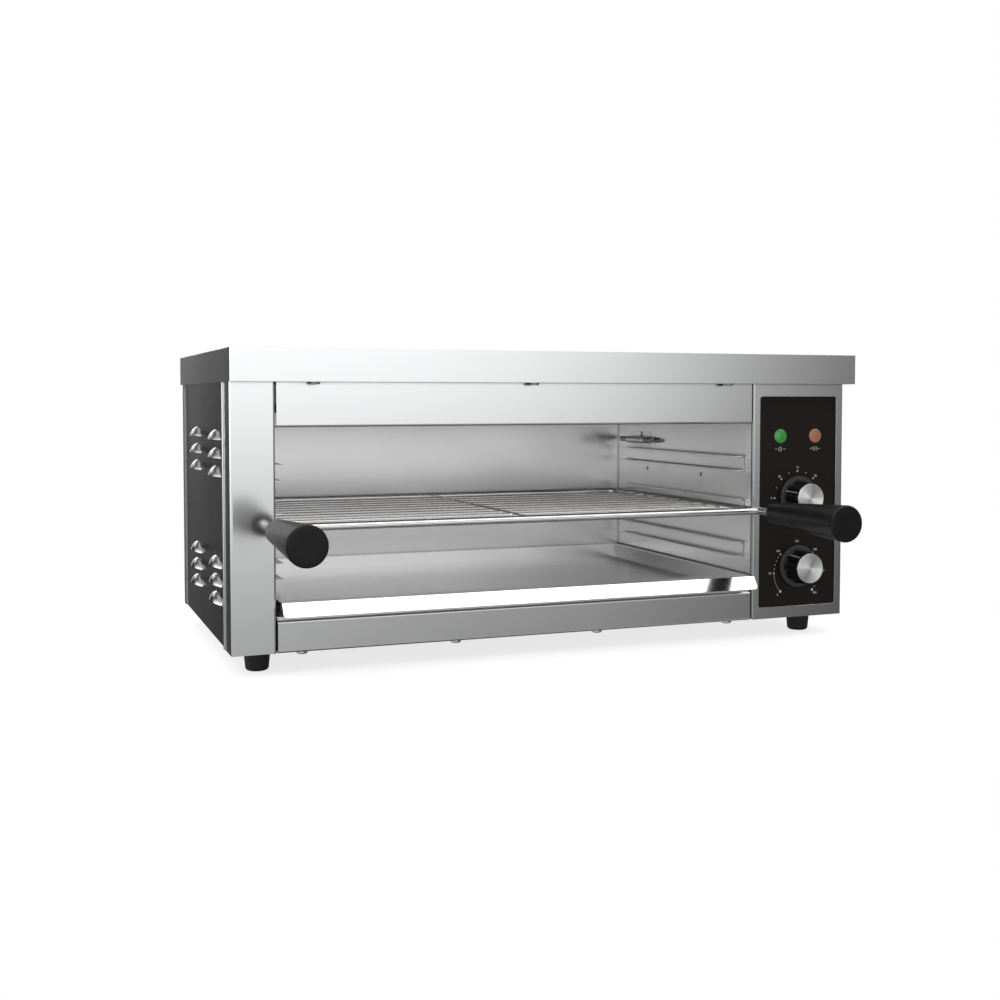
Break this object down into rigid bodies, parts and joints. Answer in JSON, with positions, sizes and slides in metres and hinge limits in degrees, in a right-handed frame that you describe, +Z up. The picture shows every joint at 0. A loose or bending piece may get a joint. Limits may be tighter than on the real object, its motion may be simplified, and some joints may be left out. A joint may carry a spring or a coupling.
{
  "type": "cheese melter",
  "caption": "Electric cheese melter: open-fronted steel cabinet with a pull-out wire rack on tapered handles, a crumb tray and a panel of rotary controls.",
  "frame": {"origin": "on the surface that the feet stand on, below the middle of the whole object's width and depth, the rack's handles included", "axes": "+X to the right seen from the front, +Y to the back, +Z up; the open front faces -Y"},
  "size_m": [0.6162, 0.4606, 0.277],
  "materials": {
    "case_steel": "fine-grained stainless sheet",
    "liner_steel": "bright stainless sheet",
    "tray_steel": "polished stainless sheet",
    "chromed_wire": "bright",
    "fastener_steel": "bright zinc",
    "black_plate": "satin black",
    "green_lens": "translucent",
    "amber_lens": "translucent",
    "mineral_wool": "fibrous",
    "element_sheath": "dull oxidised tube",
    "control_metal": "plain",
    "copper": "plain",
    "white_plastic": "plain",
    "black_plastic": "satin",
    "foot_rubber": "matt",
    "handle_plastic": "satin black",
    "knob_plastic": "satin black",
    "spun_aluminium": "spun",
    "spindle_steel": "turned"
  },
  "bodies": {
    "cabinet": {"top_cover": "case_steel", "cover_brackets": "case_steel", "left_casing": "case_steel", "left_side_panel": "case_steel", "right_side_panel": "case_steel", "back_panel": "case_steel", "base_pan": "case_steel", "upper_fascia": "case_steel", "lower_fascia": "case_steel", "control_housing": "case_steel", "left_liner": "liner_steel", "right_liner": "liner_steel", "left_runners": "liner_steel", "right_runners": "liner_steel", "back_liner": "liner_steel", "chamber_floor": "liner_steel", "reflector": "liner_steel", "element_hanger": "liner_steel", "bulb_clip": "liner_steel", "foot_screws": "fastener_steel", "cover_screws": "fastener_steel", "base_screws": "fastener_steel", "back_screws": "fastener_steel", "control_screws": "fastener_steel", "element_nuts": "fastener_steel", "control_plate": "black_plate", "power_lamp": "green_lens", "heat_lamp": "amber_lens", "insulation": "mineral_wool", "front_element": "element_sheath", "rear_element": "element_sheath", "thermostat_body": "control_metal", "sensor_bulb": "copper", "timer_body": "control_metal", "terminal_block": "white_plastic", "cable_gland": "black_plastic", "gland_nut": "black_plastic", "foot_front_left": "foot_rubber", "foot_front_right": "foot_rubber", "foot_rear_left": "foot_rubber", "foot_rear_right": "foot_rubber"},
    "rack": {"rack_hoop": "chromed_wire", "rack_front_bar": "chromed_wire", "rack_wires": "chromed_wire", "rack_cross_wire": "chromed_wire", "stud_left": "chromed_wire", "stud_right": "chromed_wire", "handle_left": "handle_plastic", "handle_right": "handle_plastic"},
    "crumb_tray_body": {"crumb_tray": "tray_steel"},
    "timer_control": {"timer_knob": "knob_plastic", "timer_cap": "spun_aluminium", "timer_spindle": "spindle_steel"},
    "thermostat_control": {"thermostat_knob": "knob_plastic", "thermostat_cap": "spun_aluminium", "thermostat_spindle": "spindle_steel"}
  },
  "joints": [
    {"name": "rack_slide", "type": "slide", "parent": "cabinet", "child": "rack", "axis": [0, -1, 0], "range_m": [0, 0.2]},
    {"name": "crumb_tray_slide", "type": "slide", "parent": "cabinet", "child": "crumb_tray_body", "axis": [0, -1, 0], "range_m": [0, 0.25]},
    {"name": "timer_turn", "type": "hinge", "parent": "cabinet", "child": "timer_control", "pos_m": [0.251, -0.08675, 0.13808], "axis": [0, 1, 0], "range_deg": [-67.5, 202.5]},
    {"name": "thermostat_turn", "type": "hinge", "parent": "cabinet", "child": "thermostat_control", "pos_m": [0.251, -0.08675, 0.06996], "axis": [0, 1, 0], "range_deg": [-90, 180]}
  ]
}
